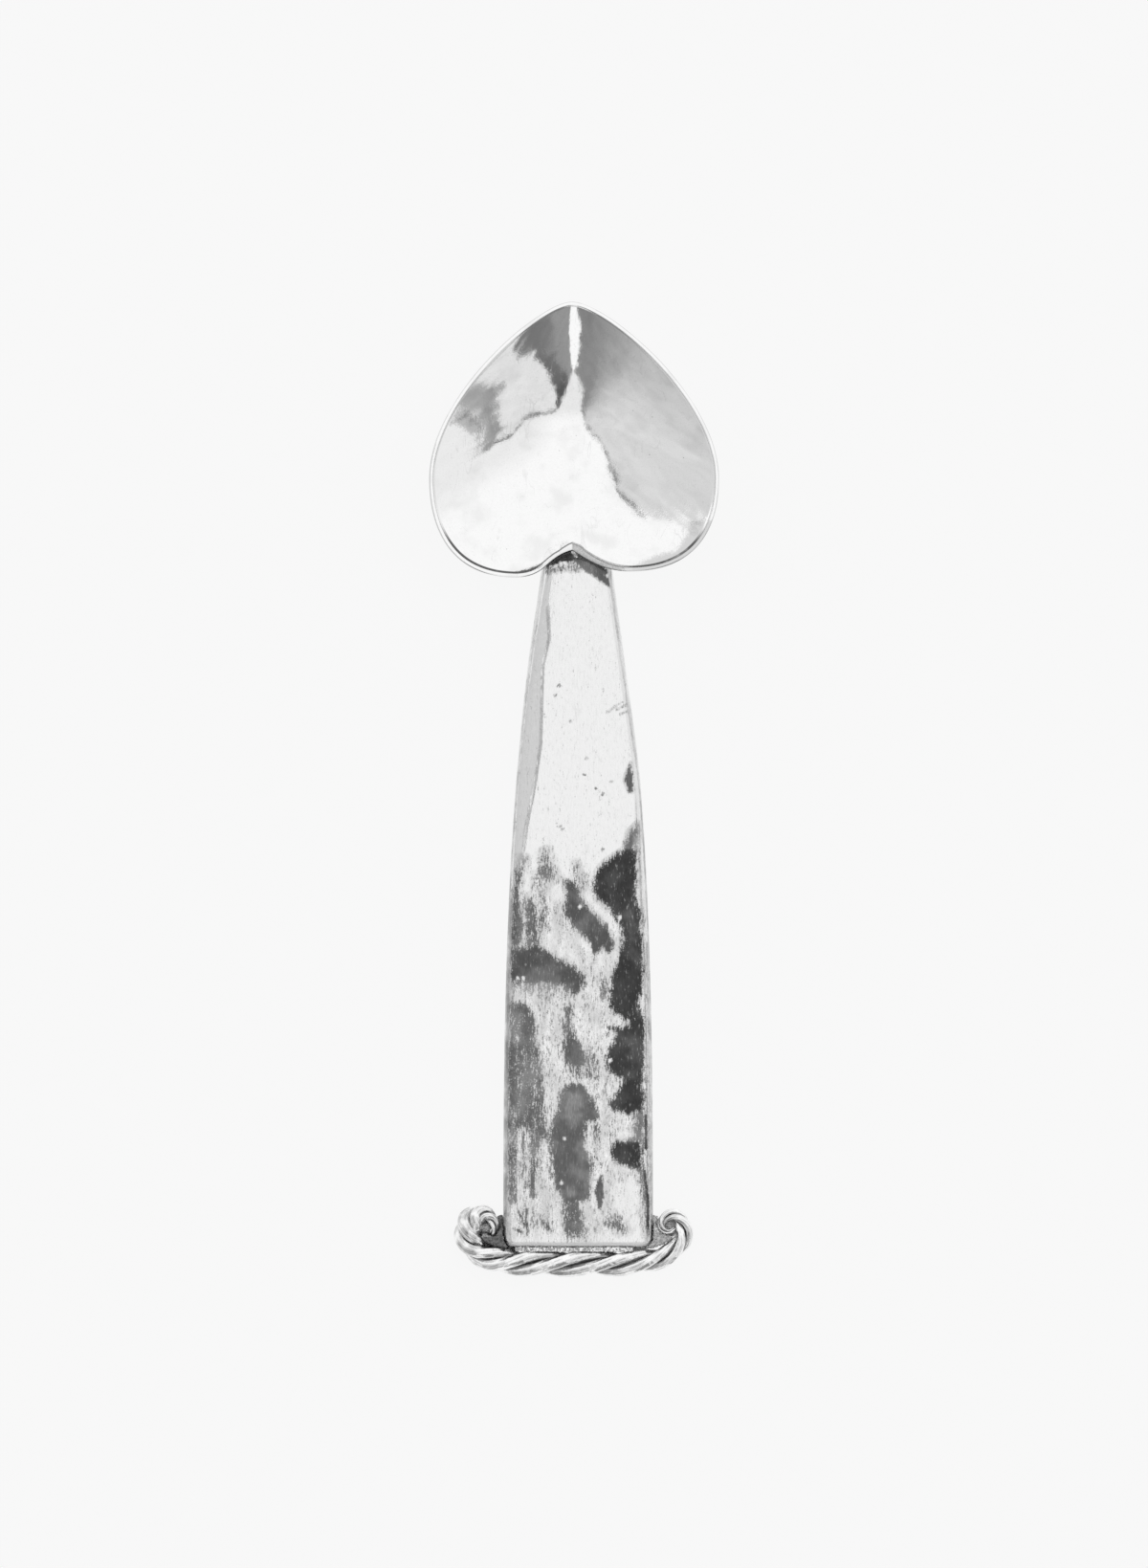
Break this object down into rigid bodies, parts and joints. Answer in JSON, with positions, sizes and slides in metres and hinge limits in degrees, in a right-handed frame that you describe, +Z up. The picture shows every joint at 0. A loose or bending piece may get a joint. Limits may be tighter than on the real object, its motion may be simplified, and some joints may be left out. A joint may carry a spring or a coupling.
{
  "type": "sugar spoon",
  "caption": "Pewter sugar spoon: shallow heart-shaped bowl soldered to a flat flared handle, with a twisted rope scroll across the handle's end.",
  "frame": {"origin": "middle of the footprint, on the surface that the spoon lies on", "axes": "+Y from the rope scroll to the tip of the bowl, +Z up out of the open bowl, +X to the right seen from above"},
  "size_m": [0.0386, 0.1303, 0.0075],
  "materials": {
    "polished_pewter": "polished, with fine scratches",
    "hammered_pewter": "polished over hammer marks and small pits",
    "rope_pewter": "polished on the crests, dark in the grooves",
    "solder": "grainy and dull"
  },
  "bodies": {
    "root": {"heart_bowl": "polished_pewter", "handle_blade": "hammered_pewter", "rope_strand_1": "rope_pewter", "rope_strand_2": "rope_pewter", "rope_strand_3": "rope_pewter", "bowl_solder": "solder", "rope_solder": "solder", "rope_solder_left": "solder", "rope_solder_right": "solder"}
  },
  "joints": []
}
